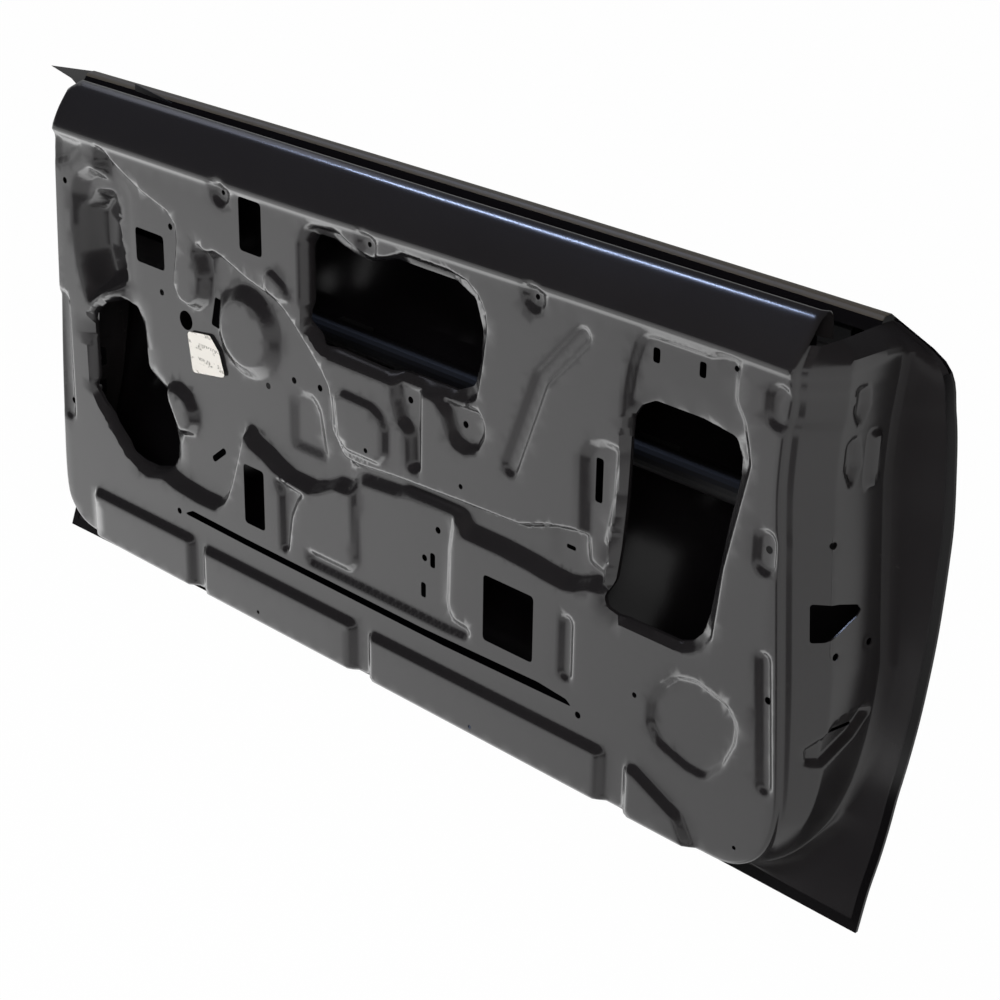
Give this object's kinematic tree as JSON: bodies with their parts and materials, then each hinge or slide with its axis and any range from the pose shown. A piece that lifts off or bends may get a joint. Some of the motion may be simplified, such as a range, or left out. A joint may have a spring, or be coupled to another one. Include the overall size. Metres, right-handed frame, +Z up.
{
  "type": "car door shell",
  "caption": "Bare pressed-steel door shell of a two-door car, with inner panel, outer skin, belt roll, access holes, latch wall and a tubular beam inside.",
  "frame": {"origin": "centre of the upper hinge face, on the outside of the front wall", "axes": "+X rearwards along the door, +Y from the cabin to the outer skin, +Z up"},
  "size_m": [1.4686, 0.151, 0.6432],
  "materials": {
    "e_coat": "satin dark grey e-coat",
    "gloss_coat": "glossy black e-coat",
    "bare_steel": "coated steel",
    "mastic": "matt",
    "paper": "matt paper label, unprinted"
  },
  "bodies": {
    "root": {"beam_front_bracket": "e_coat", "beam_mastic_1": "mastic", "beam_mastic_2": "mastic", "beam_mastic_3": "mastic", "beam_mastic_4": "mastic", "beam_rear_bracket": "e_coat", "check_arm_reinforcement": "e_coat", "inner_belt_reinforcement": "e_coat", "inner_panel": "e_coat", "inner_panel_bottom_wall": "e_coat", "inner_panel_front_wall": "e_coat", "inner_panel_latch_wall": "e_coat", "intrusion_beam": "bare_steel", "latch_reinforcement": "e_coat", "lower_hinge_nut_cage": "e_coat", "lower_hinge_nut_plate": "bare_steel", "lower_hinge_reinforcement": "e_coat", "mirror_corner_gusset": "e_coat", "outer_belt_reinforcement": "gloss_coat", "outer_skin": "gloss_coat", "paper_label": "paper", "upper_hinge_nut_cage": "e_coat", "upper_hinge_nut_plate": "bare_steel", "upper_hinge_reinforcement": "e_coat", "weld_nut_1": "bare_steel", "weld_nut_2": "bare_steel", "weld_nut_3": "bare_steel", "weld_nut_4": "bare_steel", "weld_nut_5": "bare_steel", "weld_nut_6": "bare_steel", "weld_nut_7": "bare_steel"}
  },
  "joints": []
}
